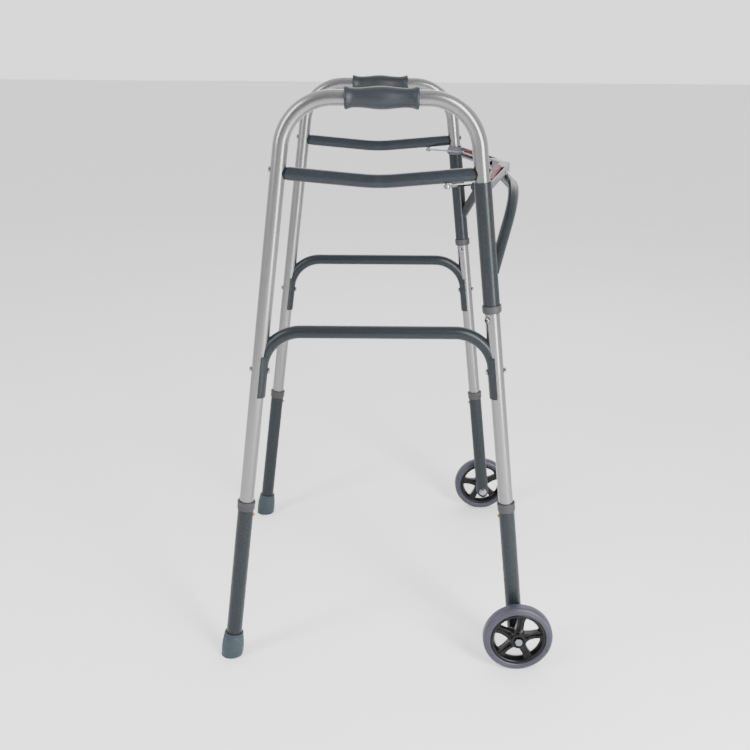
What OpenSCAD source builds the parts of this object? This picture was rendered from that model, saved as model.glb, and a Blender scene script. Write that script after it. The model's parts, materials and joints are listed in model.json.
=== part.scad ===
// Folding walking frame: two tubular side frames that swing on the front brace, adjustable
// legs with snap buttons, two front wheels and two rear rubber tips.
// X is forward, Y is the user's left, Z is up, and the floor is Z = 0. All sizes are in mm.
// Everything is drawn for the right-hand side (Y < 0) and mirrored for the left.

/* [Side frame] */
// Distance from the middle of the walker to each side frame
half_width = 297; // [285:1:315]
// Distance from the middle to where each leg line meets the floor
foot_x = 266.3; // [262:0.1:275]
// Backward lean of the rear legs, degrees
rear_lean = 6.83; // [6.2:0.01:7]
// Forward lean of the front legs, degrees
front_lean = 6.5; // [6.2:0.01:6.8]
// Height of the centre of the top tube
top_z = 1003.3; // [998:0.1:1015]
// Bend radius of the top corners
top_bend = 84; // [78:1:90]
// Outside diameter of the legs and top tube
leg_d = 25.4; // [25:0.1:25.6]
// Wall of the legs and top tube
leg_wall = 1.6; // [1.2:0.1:2]
// Height of the end of the rear legs, inside the extensions
rear_leg_end_z = 264; // [255:1:268]
// Height of the end of the front legs, inside the extensions
front_leg_end_z = 276; // [274:1:278]

/* [Grip] */
// Length of the hand grip
grip_len = 117; // [105:1:124]
// Radius of the grip at its middle and ends
grip_r = 18; // [17:0.1:19]
// Radius of the grip at its waists
grip_waist_r = 14.8; // [14.4:0.1:16]

/* [Side bars] */
// Outside diameter of both side bars
bar_d = 22.2; // [20:0.1:24]
// Wall of the side bars
bar_wall = 1.5; // [1.2:0.1:2]
// Height of the ends of the upper bar
bar_end_z = 887; // [880:1:892]
// Slope of the two halves of the upper bar, degrees
bar_slope = 5; // [3:0.1:6]
// Bend radius at the middle of the upper bar
bar_bend = 320; // [250:10:400]
// Height of the lower brace
brace_z = 624.7; // [615:0.1:635]
// Bend radius of the lower brace
brace_bend = 68; // [60:1:74]
// Lower end of the straps crushed round the legs
strap_low_z = 511; // [508:1:520]
// Height of the brace screws
brace_screw_z = 558; // [550:1:565]

/* [Leg extensions] */
// Outside diameter of the extensions and sleeves
ext_d = 28.6; // [28.4:0.1:29]
// Gap between a leg and its extension, all round
ext_gap = 0.3; // [0.3:0.05:0.4]
// Height of the snap buttons
button_z = 288.5; // [286:0.5:290]
// Distance between adjusting holes
hole_pitch = 25.4; // [25:0.1:25.4]
// Radius of the adjusting holes
hole_r = 3.8; // [3.8:0.1:4]
// Radius of the snap buttons
button_r = 3.3; // [3:0.1:3.3]
// Height of the extension collars
ext_collar_h = 16.5; // [14:0.5:18]

/* [Rear tip] */
// Height of the rubber tip
tip_h = 48; // [44:1:54]
// Radius of the tip near the floor
tip_r = 20.5; // [20:0.5:22]
// Radius of the tip at its top rim
tip_top_r = 17.4; // [17:0.1:18.5]

/* [Front wheel] */
// Wheel radius
wheel_r = 63.5; // [62:0.5:64]
// Wheel width
wheel_w = 24; // [20:1:26]
// Distance from the side frame to the middle of the wheel
wheel_out = 37.5; // [37:0.5:40]
// Radius of the black rim
rim_r = 50; // [46:1:52]
// Number of spokes
spokes = 5; // [4:1:7]

/* [Front brace] */
// Height of the bottom of the sleeves
sleeve_low_z = 663; // [661:1:670]
// Height of the top of the sleeves
sleeve_top_z = 875; // [868:1:876]
// Height of the bottom of the bow
bow_z = 858; // [858:1:860]
// Height of the bow's face
bow_h = 16; // [15:0.5:17]
// Forward reach of the bow at its nose
bow_nose_x = 250; // [244:1:252]
// Sweep of each half of the bow from straight across, degrees
bow_sweep = 13.2; // [12.5:0.1:13.4]
// Sheet thickness of the bow
bow_t = 2.5; // [2:0.1:3]
// Outside diameter of the arch tube
arch_d = 19; // [16:0.5:19]
// Forward lean of the arch, degrees
arch_lean = 21.5; // [20:0.5:23]
// Bend radius of the arch
arch_bend = 150; // [140:5:155]
// Slope of the arch's two legs, degrees
arch_slope = 50; // [48:1:52]
// Height of the arch's centre line at the middle
arch_top_z = 848; // [838:1:848]

/* [Hidden] */
$fn = 64;

SILVER = [0.76, 0.76, 0.78];
HAMMER = [0.34, 0.37, 0.41];
BAR = [0.24, 0.27, 0.30];
PLASTIC = [0.36, 0.36, 0.37];
BLACK = [0.06, 0.06, 0.07];
ZINC = [0.70, 0.72, 0.75];
BRASS = [0.80, 0.52, 0.16];
RED = [0.50, 0.08, 0.16];
RUBBER = [0.30, 0.36, 0.40];
TYRE = [0.42, 0.42, 0.47];
GRIP = [0.24, 0.28, 0.34];
WHITE = [0.93, 0.92, 0.90];

leg_r = leg_d / 2;
leg_bore_r = leg_r - leg_wall;
bar_r = bar_d / 2;
ext_r = ext_d / 2;
ext_bore_r = leg_r + ext_gap;
skin = 0.05;                 // gap between pieces that are fixed together
pivot_gap = 0.08;            // running clearance of turning pieces
slop = 1;                    // how far a cut runs past a face
seam = 0.01;                 // between the lengths that make up a long bent tube
sleeve_bore_r = leg_r + pivot_gap;

corner_z = top_z - top_bend;
rear_corner_x = -foot_x + corner_z * tan(rear_lean) + top_bend / cos(rear_lean);
front_corner_x = foot_x - corner_z * tan(front_lean) - top_bend / cos(front_lean);
rear_leg_top = (corner_z + top_bend * sin(rear_lean)) / cos(rear_lean);
front_leg_top = (corner_z + top_bend * sin(front_lean)) / cos(front_lean);

back_x = -foot_x + 8 * sin(rear_lean) - (tip_r - 0.3) * cos(rear_lean);
middle_x = (foot_x - wheel_r * tan(front_lean) + wheel_r + back_x) / 2;

function rear_x(z) = -foot_x + z * tan(rear_lean);
function front_x(z) = foot_x - z * tan(front_lean);
function up_rear(z) = z / cos(rear_lean);
function up_front(z) = z / cos(front_lean);

// Places children in the axis of a leg, with local Z up the leg from the floor.
module on_rear_leg() translate([-foot_x, -half_width, 0]) rotate([0, rear_lean, 0]) children();
module on_front_leg() translate([foot_x, -half_width, 0]) rotate([0, -front_lean, 0]) children();
module left_side() mirror([0, 1, 0]) children();
// Moves a finished piece so that the origin is under the middle of the walker.
module placed() translate([-middle_x, 0, 0]) children();

// A hollow tube bend in the XZ plane, from angle a0 to a1, measured from +X towards +Z.
module bend(radius, outer, wall, a0, a1)
    rotate([90, 0, 0]) rotate_extrude(angle = a1 - a0, start = a0)
        translate([radius, 0]) difference() {
            circle(outer);
            circle(outer - wall);
        }

// A straight hollow tube up the Z axis.
module pipe(outer, wall, h) linear_extrude(h) difference() {
    circle(outer);
    circle(outer - wall);
}

// A round bar along X between two positions.
module rod_x(x0, x1, r) translate([x0, 0, 0]) rotate([0, 90, 0]) cylinder(r = r, h = x1 - x0);

// A pan-head screw along +X: the head is at X < 0 and has a cross recess.
module pan_screw(head_r, head_h, shank_r, shank_len) {
    difference() {
        rotate([0, 90, 0]) rotate_extrude() union() {
            polygon([[0, 0], [head_r, 0], [head_r, -head_h * 0.4], [head_r * 0.86, -head_h * 0.8],
                [head_r * 0.6, -head_h], [0, -head_h]]);
            translate([0, -skin]) square([shank_r, shank_len + skin]);
        }
        for (turn = [0, 90]) rotate([turn, 0, 0])
            translate([-head_h - slop, -head_r * 0.55, -head_r * 0.1])
                cube([head_h * 0.6 + slop, head_r * 1.1, head_r * 0.2]);
    }
}

// ---------------------------------------------------------------- side frame

// One leg and its top bend: s = 1 at the front, -1 at the rear.
module leg_and_bend(s, lean, corner_x, leg_len)
    translate([corner_x, -half_width, corner_z]) rotate([0, -s * lean, 0]) mirror([s < 0 ? 1 : 0, 0, 0]) {
        bend(top_bend, leg_r, leg_wall, 0, 90 - lean);
        translate([top_bend, 0, -leg_len]) pipe(leg_r, leg_wall, leg_len);
    }

module side_path() {
    leg_and_bend(-1, rear_lean, rear_corner_x, rear_leg_top - up_rear(rear_leg_end_z));
    leg_and_bend(1, front_lean, front_corner_x, front_leg_top - up_front(front_leg_end_z));
    translate([rear_corner_x + seam, -half_width, top_z]) rotate([0, 90, 0])
        pipe(leg_r, leg_wall, front_corner_x - rear_corner_x - 2 * seam);
}

stop_screw_z = 650;
bar_screw_z = bar_end_z + 4.5;
bar_shank_r = 2.5;

module side_tube(stop_turn) color(SILVER) difference() {
    side_path();
    on_rear_leg() {
        translate([0, 0, up_rear(button_z)]) rod_x(0, leg_d, hole_r);
        translate([0, 0, up_rear(brace_screw_z)]) rod_x(-leg_d, leg_d, bar_shank_r + skin);
        translate([0, 0, up_rear(bar_screw_z)]) rod_x(-leg_d, leg_d, bar_shank_r + skin);
    }
    on_front_leg() {
        translate([0, 0, up_front(button_z)]) rod_x(-leg_d, 0, hole_r);
        translate([0, 0, up_front(brace_screw_z)]) rod_x(-leg_d, leg_d, bar_shank_r + skin);
        translate([0, 0, up_front(bar_screw_z)]) rod_x(-leg_d, leg_d, bar_shank_r + skin);
        translate([0, 0, up_front(stop_screw_z)]) rotate([0, 0, stop_turn])
            rod_x(-leg_d, 0, bar_shank_r + skin);
    }
}

// Radius of the grip a fraction f from its middle (0) to its end (1).
function grip_radius(f) = f > 0.94 ? grip_r
    : (grip_r + grip_waist_r) / 2 + (grip_r - grip_waist_r) / 2 * cos(270 * f)
        + 2.0 * pow(max(0, f - 0.75) / 0.19, 2);
grip_mid_x = 4.5;

module grip() color(GRIP) translate([grip_mid_x, -half_width, top_z]) rotate([0, 90, 0])
    rotate_extrude() polygon(concat(
        [[leg_r + skin, grip_len / 2], [leg_r + skin, -grip_len / 2]],
        [for (i = [-24:24]) let (f = i / 24)
            [min(grip_r, grip_radius(abs(f))) - (abs(i) == 24 ? 1 : 0), f * grip_len / 2]]));

bar_mid_z = bar_end_z - (front_x(bar_end_z) - leg_r - bar_bend * sin(bar_slope)) * tan(bar_slope)
    - bar_bend * (1 - cos(bar_slope));
latch_x = 110;               // where the latch pin enters the bar
latch_hole_r = 4.3;

// Placed at the start of the front (s = 1) or rear (s = -1) half of the upper bar, with Z along it.
module on_bar(s) translate([s * bar_bend * sin(bar_slope), -half_width,
    bar_mid_z + bar_bend * (1 - cos(bar_slope))]) rotate([0, s * (90 - bar_slope), 0]) children();

// The length of each half, from the bend to just short of the leg's axis.
function half_bar(s) = (s * (s > 0 ? front_x(bar_end_z) : rear_x(bar_end_z)) - bar_bend * sin(bar_slope))
    / cos(bar_slope) - 3;

module leg_cutters(r) {
    on_rear_leg() translate([0, 0, 480]) cylinder(r = r, h = 460);
    on_front_leg() translate([0, 0, 480]) cylinder(r = r, h = 460);
}

saddle = 3.6;                // thickness of the plugs' ends, between the bar and the leg
module upper_bar() color(BAR) difference() {
    for (s = [-1, 1]) translate([s * seam, -half_width, bar_mid_z + bar_bend])
        rotate([0, -s * bar_slope, 0]) {
            mirror([s < 0 ? 1 : 0, 0, 0]) bend(bar_bend, bar_r, bar_wall, 270 - bar_slope, 270);
            translate([0, 0, -bar_bend]) rotate([0, s * 90, 0]) pipe(bar_r, bar_wall, half_bar(s));
        }
    leg_cutters(leg_r + saddle);
    translate([latch_x, -half_width, 800]) cylinder(r = latch_hole_r, h = 150);
}

plug_len = 24;
module bar_plugs() color(BLACK) difference() {
    union() {
        for (s = [-1, 1]) on_bar(s) translate([0, 0, half_bar(s) - plug_len - leg_r])
            cylinder(r = bar_r - bar_wall - skin, h = plug_len + leg_r);
        intersection() {
            for (s = [-1, 1]) on_bar(s) translate([0, 0, half_bar(s) - 20]) cylinder(r = bar_r - 0.8, h = 20);
            leg_cutters(leg_r + saddle - skin);
        }
    }
    leg_cutters(leg_r + skin);
    on_rear_leg() translate([0, 0, up_rear(bar_screw_z)]) rod_x(0, 60, bar_shank_r + skin);
    on_front_leg() translate([0, 0, up_front(bar_screw_z)]) rod_x(-60, 0, bar_shank_r + skin);
}

module bar_screws() color(ZINC) {
    on_rear_leg() translate([-leg_r - 0.2, 0, up_rear(bar_screw_z)]) pan_screw(5, 2.8, bar_shank_r, 42);
    on_front_leg() translate([leg_r + 0.2, 0, up_front(bar_screw_z)]) rotate([0, 180, 0])
        pan_screw(5, 2.8, bar_shank_r, 42);
}

// The lower brace bends down at each end until it lies against the leg.
nest = 4.2;                  // from the leg's axis to the end of the brace's centre line
strap_r = nest + bar_r;      // outside radius of the crushed straps
brace_arc_z = brace_z - brace_bend;
brace_rear_x = rear_x(brace_arc_z) + (nest + brace_bend) / cos(rear_lean);
brace_front_x = front_x(brace_arc_z) - (nest + brace_bend) / cos(front_lean);

module brace_path() translate([0, -half_width, 0]) {
    translate([brace_rear_x, 0, brace_arc_z]) bend(brace_bend, bar_r, bar_wall, 90, 180 - rear_lean);
    translate([brace_front_x, 0, brace_arc_z]) bend(brace_bend, bar_r, bar_wall, front_lean, 90);
    translate([brace_rear_x, 0, brace_z]) rotate([0, 90, 0])
        pipe(bar_r, bar_wall, brace_front_x - brace_rear_x);
}

module strap(side, low, high, hole) difference() {
    translate([0, 0, low]) cylinder(r = strap_r, h = high - low);
    translate([0, 0, low - slop]) cylinder(r = leg_r + skin, h = high - low + 2 * slop);
    translate([side > 0 ? -60 + 2.8 : -2.8, -30, low - slop]) cube([60, 60, high - low + 2 * slop]);
    translate([0, 0, hole]) rod_x(-30, 30, bar_shank_r + skin);
}

module lower_brace() color(HAMMER) {
    difference() {
        brace_path();
        leg_cutters(leg_r + skin);
    }
    on_rear_leg() strap(1, up_rear(strap_low_z), up_rear(584), up_rear(brace_screw_z));
    on_front_leg() strap(-1, up_front(strap_low_z), up_front(584), up_front(brace_screw_z));
}

module brace_screws() color(ZINC) {
    on_rear_leg() translate([0, 0, up_rear(brace_screw_z)]) brace_screw();
    on_front_leg() translate([0, 0, up_front(brace_screw_z)]) rotate([0, 180, 0]) brace_screw();
}
module brace_screw() {
    translate([strap_r + 0.2, 0, 0]) rotate([0, 180, 0])
        pan_screw(5.5, 3, bar_shank_r, strap_r + leg_r + 4);
    translate([-leg_r - 3.2, 0, 0]) difference() {
        rod_x(0, 3, 4.6);
        rod_x(-slop, 4, bar_shank_r + skin);
    }
}

module stop_screw(stop_turn) color(ZINC)
    on_front_leg() translate([0, 0, up_front(stop_screw_z)]) rotate([0, 0, stop_turn])
        translate([-leg_r - 0.3, 0, 0]) pan_screw(5.6, 3.2, bar_shank_r, 9);

// ---------------------------------------------------------------- snap buttons

button_reach = ext_r + 3;    // how far the button's tip stands from the leg's axis
button_pad = leg_bore_r - 0.8;

// A domed brass button along +X with a flange that stays inside the leg.
module button() color(BRASS) rotate([0, 90, 0]) rotate_extrude() polygon(concat(
    [[0, button_pad - 1.2], [4.8, button_pad - 1.2], [4.8, button_pad - 0.4], [button_r, button_pad - 0.4]],
    [for (a = [0:15:90]) [button_r * cos(a), button_reach - 2 + 2 * sin(a)]]));

module front_button() on_front_leg() translate([0, 0, up_front(button_z)]) rotate([0, 180, 0]) button();
module rear_button() on_rear_leg() translate([0, 0, up_rear(button_z)]) button();

// A hairpin leaf spring inside the leg: one arm behind the button, one on the far wall.
module button_spring() rotate([90, 0, 0]) translate([0, 0, -3]) linear_extrude(6) difference() {
    union() {
        polygon([[button_pad - 2.2, -5], [button_pad - 1.4, -5], [button_pad - 2.4, 34],
            [button_pad - 3.2, 34]]);
        polygon([[-button_pad + 0.2, -5], [-button_pad + 1, -5], [-button_pad + 3.2, 34],
            [-button_pad + 2.4, 34]]);
        translate([0, 34]) circle(button_pad - 2.4);
    }
    translate([0, 34]) circle(button_pad - 3.2);
    translate([-button_pad + 3.2, 20]) square([2 * button_pad - 6.4, 14]);
}
module button_springs() color(ZINC) {
    on_rear_leg() translate([0, 0, up_rear(button_z)]) button_spring();
    on_front_leg() translate([0, 0, up_front(button_z)]) rotate([0, 0, 180]) button_spring();
}

// ---------------------------------------------------------------- leg extensions

rear_holes = 8;
front_holes = 7;
ext_top_z = button_z + 21;
collar_top_z = button_z + 26;
tip_floor = 11;              // rubber under the rear extension

module extension_tube(low, high) difference() {
    translate([0, 0, low]) cylinder(r = ext_r, h = high - low);
    translate([0, 0, low - slop]) cylinder(r = ext_bore_r, h = high - low + 2 * slop);
}

module rear_extension() color(HAMMER) on_rear_leg() difference() {
    extension_tube(tip_floor + 3, up_rear(ext_top_z));
    for (i = [0:rear_holes - 1])
        translate([0, 0, up_rear(button_z) - i * hole_pitch]) rod_x(0, 30, hole_r);
}

axle_z = wheel_r;
axle_r = 4;
recess_top_z = 119;
press_y = 10.6;              // how far the pressed flat is from the leg's axis
flat_wall = 1.3;
flat_half = 9.35;            // half the flat's width, so that its edges end inside the tube's wall

module front_extension() color(HAMMER) difference() {
    intersection() {
        on_front_leg() {
            difference() {
                extension_tube(up_front(45), up_front(ext_top_z));
                translate([-20, -30 - press_y, 0]) cube([40, 30, up_front(recess_top_z)]);
                for (i = [0:front_holes - 1])
                    translate([0, 0, up_front(button_z) - i * hole_pitch]) rod_x(-30, 0, hole_r);
            }
            translate([-flat_half, -press_y, up_front(45)])
                cube([2 * flat_half, flat_wall, up_front(recess_top_z) - up_front(45) + 1]);
            intersection() {
                translate([-20, -ext_r, up_front(recess_top_z)]) cube([40, ext_r - press_y + 0.8, 1.4]);
                cylinder(r = ext_r - 0.6, h = 200);
            }
        }
        // The lower end is rounded about the axle.
        translate([front_x(axle_z), -half_width, axle_z]) rotate([90, 0, 0])
            translate([0, 0, -20]) linear_extrude(40) union() {
                circle(ext_r + 0.7);
                rotate([0, 0, front_lean]) translate([-ext_r - 2, 0]) square([2 * ext_r + 4, 300]);
            }
    }
    translate([front_x(axle_z), -half_width, axle_z]) rotate([90, 0, 0])
        translate([0, 0, -25]) cylinder(r = axle_r + skin, h = 50);
}

// A cup-shaped plastic collar over the top of a tube, with a lip that guides the leg.
module cup(h, lip_r, tube_r, guide_r) rotate_extrude() polygon([
    [guide_r, h], [guide_r, h - 3.5], [tube_r + skin, h - 3.5], [tube_r + skin, 0],
    [tube_r + 1.2, 0], [lip_r - 0.4, 3], [lip_r, h - 2], [lip_r - 0.6, h - 0.5], [lip_r - 1.4, h]]);

module rear_collar() color(PLASTIC) on_rear_leg()
    translate([0, 0, up_rear(collar_top_z) - ext_collar_h])
        cup(ext_collar_h, 16.3, ext_r, ext_bore_r);
module front_collar() color(PLASTIC) on_front_leg()
    translate([0, 0, up_front(collar_top_z) - ext_collar_h])
        cup(ext_collar_h, 16.3, ext_r, ext_bore_r);

module rear_tip() color(RUBBER) difference() {
    on_rear_leg() rotate_extrude() polygon([
        [0, -6], [tip_r - 2.6, -6], [tip_r - 1.2, 1.5], [tip_r - 0.3, 8], [tip_r, 16],
        [tip_r - 0.5, 26], [tip_r - 1.6, 36], [tip_top_r + 0.4, tip_h - 6],
        [tip_top_r - 0.5, tip_h - 4.6], [tip_top_r - 0.5, tip_h - 3.8], [tip_top_r + 0.2, tip_h - 3.2],
        [tip_top_r + 0.2, tip_h - 1], [tip_top_r - 0.6, tip_h], [ext_r + skin, tip_h],
        [ext_r + skin, tip_floor + 2.9], [0, tip_floor + 2.9]]);
    translate([-foot_x - 50, -half_width - 50, -100]) cube([100, 100, 100]);
}

// ---------------------------------------------------------------- front wheel

hub_in = press_y + 1.4;      // inner end of the hub, from the leg's axis
hub_out = 54;                // outer end of the hub, from the leg's axis

module on_axle() translate([front_x(axle_z), -half_width, axle_z]) rotate([90, 0, 0]) children();

module axle_bolt() color(ZINC) on_axle() {
    translate([0, 0, -ext_r - 6.4]) cylinder(r = 6.6, h = 4.4, $fn = 6);
    translate([0, 0, -ext_r - 2.1]) cylinder(r = 8.5, h = 1.6);
    translate([0, 0, -ext_r - 3]) cylinder(r = axle_r, h = ext_r + 3 + hub_out + 3);
}

module axle_nut() color(ZINC) on_axle() translate([0, 0, hub_out - 3.5]) difference() {
    rotate_extrude() polygon([[0, 0], [7, 0], [7, 6.5], [6, 8], [4, 8.5], [0, 8.5]]);
    translate([0, 0, -slop]) cylinder(r = axle_r + skin, h = 8);
}

module spoke_plan() polygon([[11, -8.6], [16, -7.6], [28, -6.4], [38, -7.2], [47, -10.5],
    [47, 10.5], [38, 7.2], [28, 6.4], [16, 7.6], [11, 8.6]]);

module wheel_rim() color(BLACK) on_axle() {
    difference() {
        union() {
            translate([0, 0, hub_in]) cylinder(r = 10.5, h = hub_out - hub_in - 5);
            translate([0, 0, wheel_out - 9]) cylinder(r = 14.8, h = hub_out - wheel_out + 9);
            for (i = [0:spokes - 1]) rotate([0, 0, 82 + i * 360 / spokes])
                translate([0, 0, wheel_out - 6.2]) linear_extrude(12.6) spoke_plan();
        }
        translate([0, 0, hub_in - slop]) cylinder(r = axle_r + pivot_gap, h = hub_out);
        translate([0, 0, hub_out - 4]) cylinder(r = 8.2, h = 20);
    }
    translate([0, 0, wheel_out]) rotate_extrude() polygon([
        [rim_r - 1.4, -11.2], [rim_r, -10.4], [rim_r, 10.4], [rim_r - 1.4, 11.2], [rim_r - 4, 10.8],
        [rim_r - 5.5, 9.6], [rim_r - 8.5, 3.5], [rim_r - 9.5, 0], [rim_r - 8.5, -3.5],
        [rim_r - 5.5, -9.6], [rim_r - 4, -10.8]]);
}

tyre_round = 9;
module wheel_tyre() color(TYRE) on_axle() translate([0, 0, wheel_out]) rotate_extrude() intersection() {
    translate([rim_r + skin, -wheel_w]) square([wheel_r, 2 * wheel_w]);
    union() {
        translate([rim_r, -wheel_w / 2]) square([wheel_r - tyre_round - rim_r, wheel_w]);
        for (s = [-1, 1]) translate([wheel_r - tyre_round, s * (wheel_w / 2 - tyre_round)])
            circle(tyre_round);
        translate([rim_r, -(wheel_w / 2 - tyre_round)]) square([wheel_r - rim_r, wheel_w - 2 * tyre_round]);
    }
}

// ---------------------------------------------------------------- front brace

module sleeve() color(HAMMER) on_front_leg() translate([0, 0, up_front(sleeve_low_z)]) difference() {
    cylinder(r = ext_r, h = up_front(sleeve_top_z - sleeve_low_z));
    translate([0, 0, -slop]) cylinder(r = sleeve_bore_r, h = 300);
}

sleeve_collar_h = 13;
module sleeve_collar() color(PLASTIC) on_front_leg()
    translate([0, 0, up_front(sleeve_low_z) - 2.6]) rotate_extrude() polygon([
        [leg_r + 0.4, 0], [15, 0], [16, 1.6], [16.3, 4], [16.3, sleeve_collar_h - 1],
        [15.9, sleeve_collar_h], [15.3, sleeve_collar_h], [15, sleeve_collar_h - 1.4],
        [ext_r + skin, sleeve_collar_h - 3], [ext_r + skin, 2.5], [leg_r + 0.4, 2.5]]);

// Places children at the bow's outer face: local Y runs out towards the right-hand sleeve,
// local X points back into the bow, and Z is up. The start is on the centre line.
module on_bow() translate([bow_nose_x, 0, 0]) rotate([0, 0, 180 - bow_sweep]) children();

sleeve_y = half_width - ext_r;
bow_len = (sleeve_y - 1) / cos(bow_sweep);
trough_w = 20;
lip_h = 4;                   // height of the trough's low inner side
nose_cover = 77;             // reach of the cover over the nose

bow_round = 5;               // outer radius of the bow's long corners

function arc(r, z, a0, a1) = [for (i = [0:6]) let (a = a0 + (a1 - a0) * i / 6)
    [bow_round + r * cos(a), z + r * sin(a)]];

// The outer face and its rounded corners, between two places along the bow.
module bow_wall(from, to, covered) on_bow() translate([0, to, bow_z]) rotate([90, 0, 0])
    linear_extrude(to - from) polygon(concat(
        arc(bow_round - bow_t, bow_round, 270, 180),
        covered ? arc(bow_round - bow_t, bow_h - bow_round, 180, 90) : [[bow_t, bow_h], [0, bow_h]],
        covered ? arc(bow_round, bow_h - bow_round, 90, 180) : [],
        arc(bow_round, bow_round, 180, 270)));

// Half of the bow: an open trough with a tall outer face, and a cover over the nose.
module half_bow() {
    bow_wall(-10, nose_cover, true);
    bow_wall(nose_cover, bow_len, false);
    translate([0, 0, bow_z]) linear_extrude(bow_t) on_bow() polygon([[bow_round, -10], [trough_w, -10],
        [trough_w, 240], [bow_round, 272]]);
    translate([0, 0, bow_z]) linear_extrude(lip_h) on_bow()
        polygon([[trough_w - bow_t, -10], [trough_w, -10], [trough_w, 236], [trough_w - bow_t, 236]]);
    translate([0, 0, bow_z + bow_h - bow_t]) linear_extrude(bow_t) on_bow()
        polygon([[bow_round, -10], [trough_w, -10], [trough_w, nose_cover - 5],
            [trough_w - 5, nose_cover], [bow_round, nose_cover]]);
    translate([0, 0, bow_z]) linear_extrude(bow_h) on_bow()
        polygon([[trough_w - bow_t, -10], [trough_w, -10], [trough_w, nose_cover - 30],
            [trough_w - bow_t, nose_cover - 30]]);
    // A flat tab, round at its end, lies along the inner side of the sleeve.
    translate([0, -sleeve_y + bow_t - 1.5, bow_z + bow_h / 2]) rotate([90, 0, 0]) linear_extrude(bow_t)
        union() {
            translate([front_x(bow_z) - 12, 0]) circle(bow_h / 2);
            translate([front_x(bow_z) - 12, -bow_h / 2])
                square([bow_nose_x - bow_len * sin(bow_sweep) - front_x(bow_z) + 12, bow_h]);
        }
}

lever_t = 3;
lever_z = bow_z + 8.5;       // underside of the lever
pivot_along = 90;
pivot_z = lever_z - 2;
pivot_r = 2.2;
nose_round = 100;            // radius of the bow's nose in plan
nose_tip_x = bow_nose_x - nose_round * (1 / cos(bow_sweep) - 1);

module front_bow() color(HAMMER) difference() {
    intersection() {
        union() {
            half_bow();
            left_side() half_bow();
        }
        // Keeps each half on its own side, and rounds the nose.
        union() {
            translate([nose_tip_x - nose_round, 0, bow_z - slop]) cylinder(r = nose_round, h = 40, $fn = 128);
            for (s = [-1, 1]) translate([140, s > 0 ? nose_round * sin(bow_sweep) : -400, bow_z - slop])
                cube([120, 400 - nose_round * sin(bow_sweep), 40]);
        }
    }
    on_front_leg() translate([0, 0, 800]) cylinder(r = ext_r + skin, h = 120);
    left_side() on_front_leg() translate([0, 0, 800]) cylinder(r = ext_r + skin, h = 120);
    on_bow() translate([0, pivot_along, pivot_z]) rod_x(-5, 5, pivot_r + skin);
    left_side() on_bow() translate([0, pivot_along, pivot_z]) rod_x(-5, 5, pivot_r + skin);
}

module bow_label() color(WHITE) left_side() on_bow() translate([5.5, 2, bow_z + bow_h + skin])
    cube([11.5, 50, 0.3]);

arch_r = arch_d / 2;
arch_wall = 1.5;
arch_flat = 118;             // half the straight stretch across the top
arch_leg = (half_width - arch_flat - arch_bend * sin(arch_slope)) / cos(arch_slope) - 3;
arch_x = front_x(742) + ext_r - 0.5 + (arch_top_z - 742) * tan(arch_lean);

module front_arch() color(HAMMER) difference() {
    translate([arch_x, 0, arch_top_z]) rotate([0, arch_lean, 0]) rotate([0, 0, 90]) {
        translate([-arch_flat, 0, 0]) rotate([0, 90, 0]) pipe(arch_r, arch_wall, 2 * arch_flat);
        for (s = [0, 1]) mirror([s, 0, 0]) {
            translate([arch_flat, 0, -arch_bend]) bend(arch_bend, arch_r, arch_wall, 90 - arch_slope, 90);
            translate([arch_flat + arch_bend * sin(arch_slope), 0, arch_bend * (cos(arch_slope) - 1)])
                rotate([0, 90 + arch_slope, 0]) pipe(arch_r, arch_wall, arch_leg);
        }
    }
    on_front_leg() translate([0, 0, 600]) cylinder(r = ext_r + skin, h = 300);
    left_side() on_front_leg() translate([0, 0, 600]) cylinder(r = ext_r + skin, h = 300);
}

// ---------------------------------------------------------------- latch

lever_in = 5;                // from the bow's face to the lever's front edge
lever_w = 11;
arm_end = [latch_x, -half_width];

// The lever runs along the bow from its pivot, past the sleeve, and back under the side bar.
module lever_plan() {
    on_bow() polygon([[lever_in, pivot_along + 4.5], [lever_in + lever_w, pivot_along + 4.5],
        [lever_in + lever_w, 256], [lever_in, 262]]);
    hull() {
        on_bow() translate([lever_in + 6, 255]) circle(6, $fn = 32);
        translate([147, -half_width + 23]) circle(6, $fn = 32);
    }
    hull() {
        translate([147, -half_width + 23]) circle(6, $fn = 32);
        translate(arm_end) circle(6, $fn = 32);
    }
}

module latch_lever() color(ZINC) difference() {
    union() {
        translate([0, 0, lever_z]) linear_extrude(lever_t) lever_plan();
        on_bow() translate([lever_in, pivot_along - 6, pivot_z - 3.5]) cube([lever_t, 12, lever_t + 5.5]);
    }
    on_bow() translate([0, pivot_along, pivot_z]) rod_x(0, 40, pivot_r + pivot_gap);
    translate([arm_end[0], arm_end[1], lever_z - slop]) cylinder(r = 3.5 + skin, h = 10);
}

module lever_pivot() color(ZINC) on_bow() translate([0, pivot_along, pivot_z]) {
    rod_x(-1.8, -skin, 3.5);
    rod_x(-1, lever_in + lever_t + 3, pivot_r);
    rod_x(lever_in + lever_t + 0.4, lever_in + lever_t + 3, 3.5);
}

pin_top = lever_z + lever_t + 5.8;
module latch_pin() color(ZINC) translate([arm_end[0], arm_end[1], 0]) rotate_extrude() polygon([
    [0, lever_z - 3], [4.4, lever_z - 3], [5, lever_z - 2], [5, lever_z - 0.1], [3.5, lever_z - 0.1],
    [3.5, pin_top - 1.5], [2.4, pin_top], [0, pin_top]]);

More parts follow.
